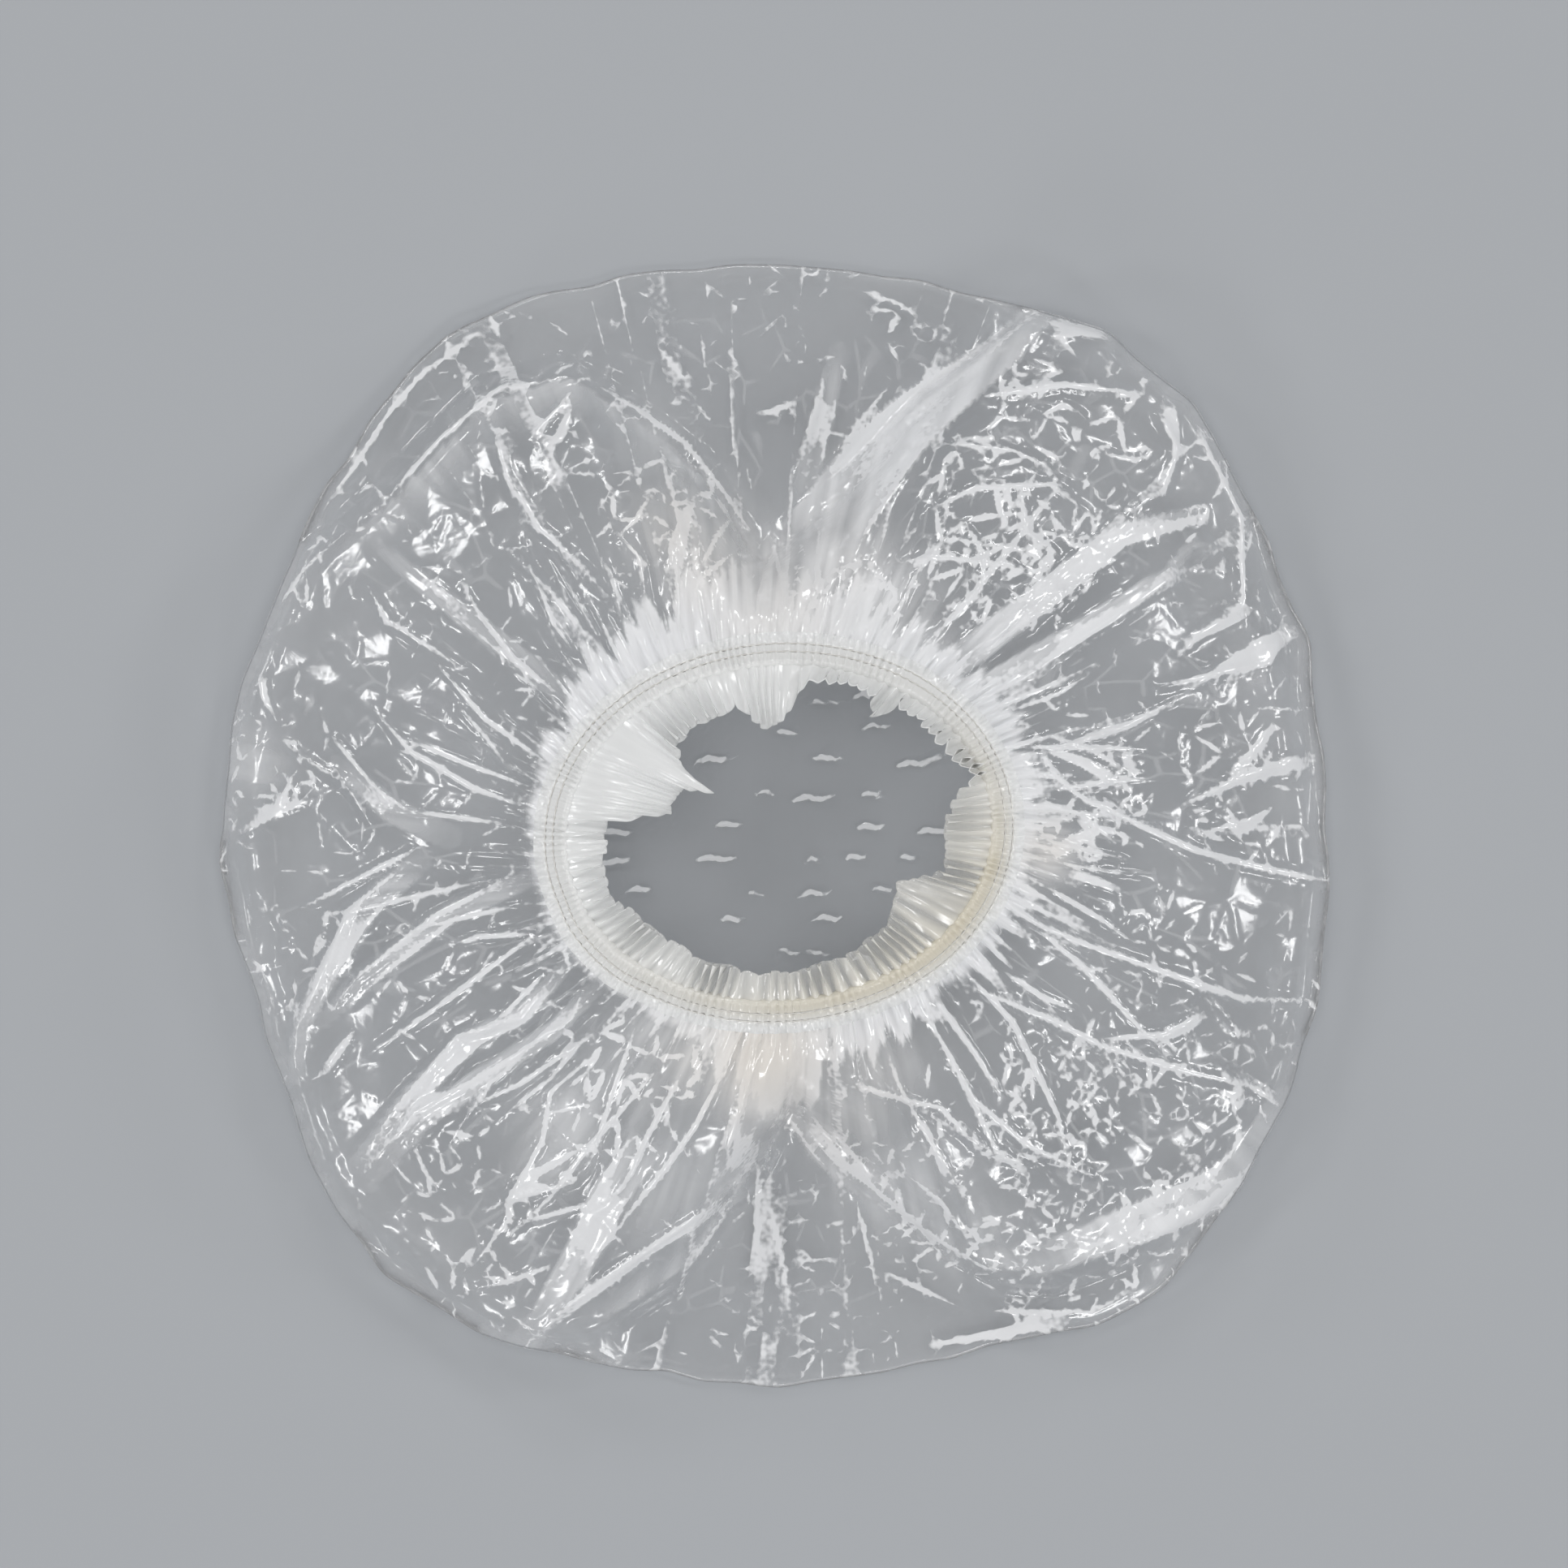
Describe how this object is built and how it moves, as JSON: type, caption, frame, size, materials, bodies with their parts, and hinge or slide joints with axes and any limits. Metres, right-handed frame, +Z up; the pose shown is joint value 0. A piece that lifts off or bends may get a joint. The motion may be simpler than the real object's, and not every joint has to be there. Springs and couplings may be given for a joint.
{
  "type": "shower cap",
  "caption": "Clear film shower cap lying on its crown: slack pleated film drawn into an oval elastic mouth with a stitched hem and a ruffled frill, to keep hair dry.",
  "frame": {"origin": "middle of the footprint, on the surface that the crown lies on", "axes": "+Z up out of the mouth, +Y along the longer side of the footprint, +X along the mouth's long axis within 5 degrees"},
  "size_m": [0.2734, 0.28, 0.05],
  "materials": {
    "clear_film": "clear polyethylene film, glossy and crinkled",
    "gathered_film": "the same film in tight gathers, milky white",
    "elastic": "knitted elastic tape, cream white",
    "thread": "white polyester sewing thread"
  },
  "bodies": {
    "crown": {"crown_film": "clear_film"},
    "mouth": {"hem_casing": "gathered_film", "frill": "gathered_film", "elastic_band": "elastic", "needle_thread_outer": "thread", "needle_thread_inner": "thread", "looper_thread": "thread"}
  },
  "joints": [
    {"name": "mouth_lift", "type": "slide", "parent": "crown", "child": "mouth", "axis": [0, 0, 1], "range_m": [-0.025, 0.03], "stiffness_N_per_m": 30, "deforming": ["crown_film"]}
  ]
}
